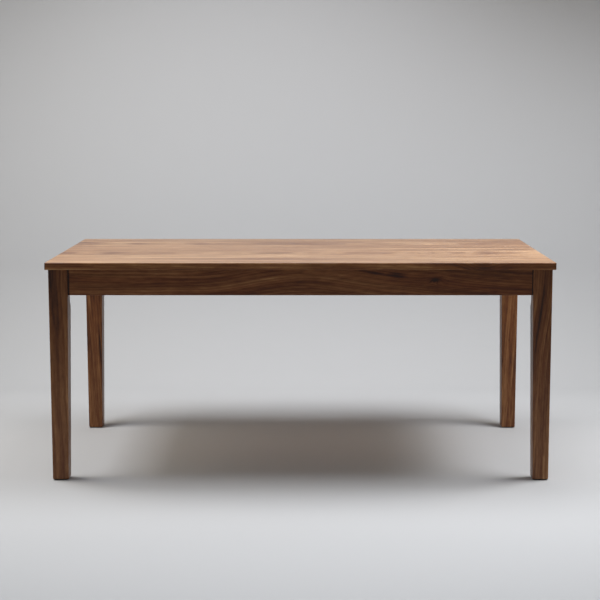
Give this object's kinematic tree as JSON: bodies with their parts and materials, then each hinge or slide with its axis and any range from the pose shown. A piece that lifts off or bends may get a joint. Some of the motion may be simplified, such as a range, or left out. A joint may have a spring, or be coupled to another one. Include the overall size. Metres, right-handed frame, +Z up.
{
  "type": "dining table",
  "caption": "Rectangular walnut dining table with a thin flush top, set-back apron and square legs that taper on their inner faces and bolt on at the corners.",
  "frame": {"origin": "on the floor, under the middle of the table", "axes": "+X along the table's length, +Y towards its back, +Z up"},
  "size_m": [1.65, 0.85, 0.72],
  "materials": {
    "walnut": "oiled satin walnut",
    "beech": "planed beech, unfinished",
    "zinc_steel": "zinc-plated steel",
    "nylon": "moulded dark nylon"
  },
  "bodies": {
    "root": {"apron_back": "walnut", "apron_dowels": "beech", "apron_front": "walnut", "apron_left": "walnut", "apron_right": "walnut", "button_back_1": "beech", "button_back_2": "beech", "button_back_3": "beech", "button_front_1": "beech", "button_front_2": "beech", "button_front_3": "beech", "button_left_1": "beech", "button_left_2": "beech", "button_right_1": "beech", "button_right_2": "beech", "button_screws": "zinc_steel", "corner_plate_back_left": "zinc_steel", "corner_plate_back_right": "zinc_steel", "corner_plate_front_left": "zinc_steel", "corner_plate_front_right": "zinc_steel", "cross_rail_1": "walnut", "cross_rail_2": "walnut", "glide_back_left": "nylon", "glide_back_right": "nylon", "glide_front_left": "nylon", "glide_front_right": "nylon", "glide_nails": "zinc_steel", "hanger_bolts": "zinc_steel", "hanger_nuts": "zinc_steel", "hanger_washers": "zinc_steel", "leg_back_left": "walnut", "leg_back_right": "walnut", "leg_front_left": "walnut", "leg_front_right": "walnut", "plate_screws": "zinc_steel", "rail_screws": "zinc_steel", "top_board_1": "walnut", "top_board_2": "walnut", "top_board_3": "walnut", "top_board_4": "walnut", "top_board_5": "walnut", "top_board_6": "walnut", "top_board_7": "walnut"}
  },
  "joints": []
}
